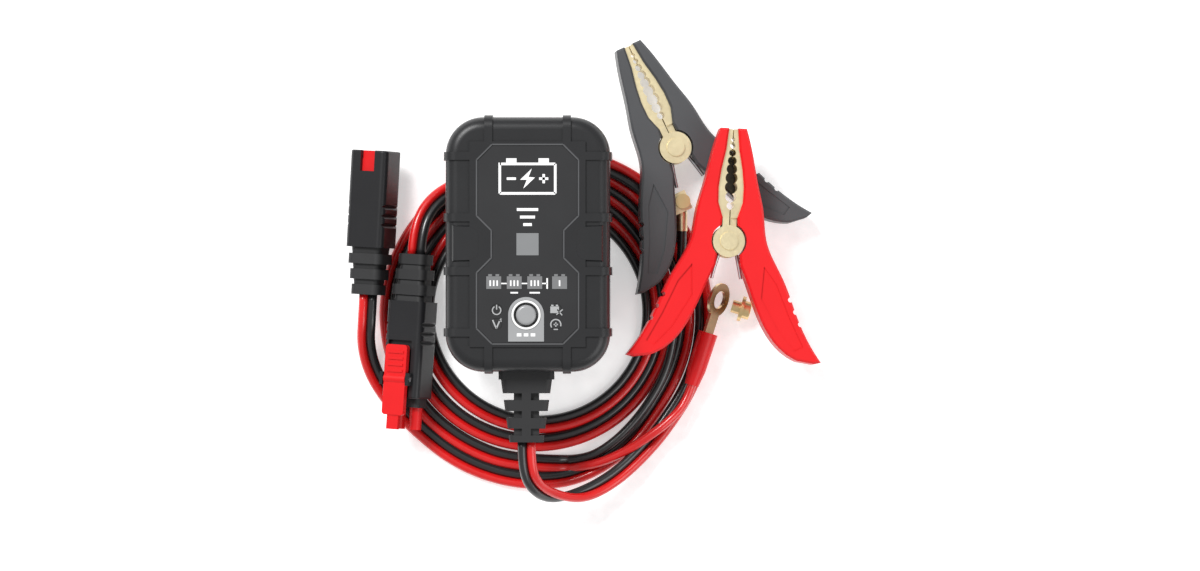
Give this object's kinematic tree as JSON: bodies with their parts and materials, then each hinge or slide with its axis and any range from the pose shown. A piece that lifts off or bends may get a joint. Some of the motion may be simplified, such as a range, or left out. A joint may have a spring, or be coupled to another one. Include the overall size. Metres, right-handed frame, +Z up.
{
  "type": "car battery charger",
  "caption": "Wall-plug car battery charger with mode button and status lamps, twin lead, quick connector, spring clamps and ring terminal.",
  "frame": {"origin": "on the floor under the centre of the charger case", "axes": "+Z up out of the face panel, +Y along the case away from the cord, +X across the case"},
  "size_m": [0.1661, 0.1673, 0.052],
  "materials": {
    "case_plastic": "satin moulded",
    "panel_plastic": "satin",
    "gasket_rubber": "matt",
    "screw_steel": "plated",
    "lens_plastic": "clear grey",
    "button_plastic": "satin",
    "white_plastic": "satin",
    "board": "solder mask",
    "component_plastic": "moulded",
    "brass": "plated brass",
    "black_rubber": "matt",
    "connector_plastic": "satin",
    "red_plastic": "satin",
    "black_plastic": "satin",
    "red_cord": "glossy",
    "black_cord": "glossy"
  },
  "bodies": {
    "charger": {"battery_lamps": "lens_plastic", "black_fixed_arm": "black_plastic", "black_fixed_jaw": "brass", "black_rivet": "screw_steel", "black_spring": "screw_steel", "black_terminal_screw": "brass", "black_terminal_tab": "brass", "black_wire": "black_cord", "black_wire_lug": "brass", "blade_carrier": "component_plastic", "button_label": "white_plastic", "button_surround": "white_plastic", "case_gasket": "gasket_rubber", "case_screws": "screw_steel", "charger_lead": "red_cord", "circuit_board": "board", "cord_coil": "red_cord", "face_panel": "panel_plastic", "front_case": "case_plastic", "indicator_leds": "component_plastic", "internal_leads": "component_plastic", "lever_pin": "screw_steel", "mode_lamps": "lens_plastic", "plug_blades": "brass", "plug_contacts": "red_plastic", "plug_lead": "red_cord", "plug_relief": "black_rubber", "plug_seal": "black_rubber", "plug_shell": "connector_plastic", "rear_case": "case_plastic", "red_fixed_arm": "red_plastic", "red_fixed_jaw": "brass", "red_rivet": "screw_steel", "red_spring": "screw_steel", "red_wire": "red_cord", "ring_boot": "red_cord", "ring_terminal": "brass", "smoothing_capacitors": "component_plastic", "socket_insert": "red_plastic", "socket_lead": "red_cord", "socket_pins": "brass", "socket_relief": "black_rubber", "socket_shell": "connector_plastic", "status_window": "lens_plastic", "strain_relief": "black_rubber", "tactile_switch": "component_plastic", "terminal_screw": "brass", "transformer": "component_plastic"},
    "button": {"mode_button": "button_plastic", "switch_plunger": "component_plastic"},
    "lever": {"release_lever": "red_plastic"},
    "black_arm": {"black_moving_arm": "black_plastic", "black_moving_jaw": "brass"},
    "red_arm": {"red_moving_arm": "red_plastic", "red_moving_jaw": "brass"}
  },
  "joints": [
    {"name": "mode_button_press", "type": "slide", "parent": "charger", "child": "button", "axis": [0, 0, -1], "range_m": [0, 0.0008], "stiffness_N_per_m": 400, "springref_m": -0.0005},
    {"name": "lever_rock", "type": "hinge", "parent": "charger", "child": "lever", "pos_m": [-0.04644, -0.04693, 0.02043], "axis": [-0.9043, 0.0607, -0.4226], "range_deg": [0, 8], "stiffness_Nm_per_rad": 0.05, "springref_deg": -11.46},
    {"name": "black_clamp_hinge", "type": "hinge", "parent": "charger", "child": "black_arm", "pos_m": [0.0513, 0.034, 0.01], "axis": [-0.0698, -0.0399, -0.9968], "range_deg": [0, 28], "stiffness_Nm_per_rad": 0.4, "springref_deg": -28.65, "deforming": ["black_spring"]},
    {"name": "red_clamp_hinge", "type": "hinge", "parent": "charger", "child": "red_arm", "pos_m": [0.0698, 0.00105, 0.02246], "axis": [-0.0698, -0.0399, -0.9968], "range_deg": [0, 28], "stiffness_Nm_per_rad": 0.4, "springref_deg": -28.65, "deforming": ["red_spring"]}
  ]
}
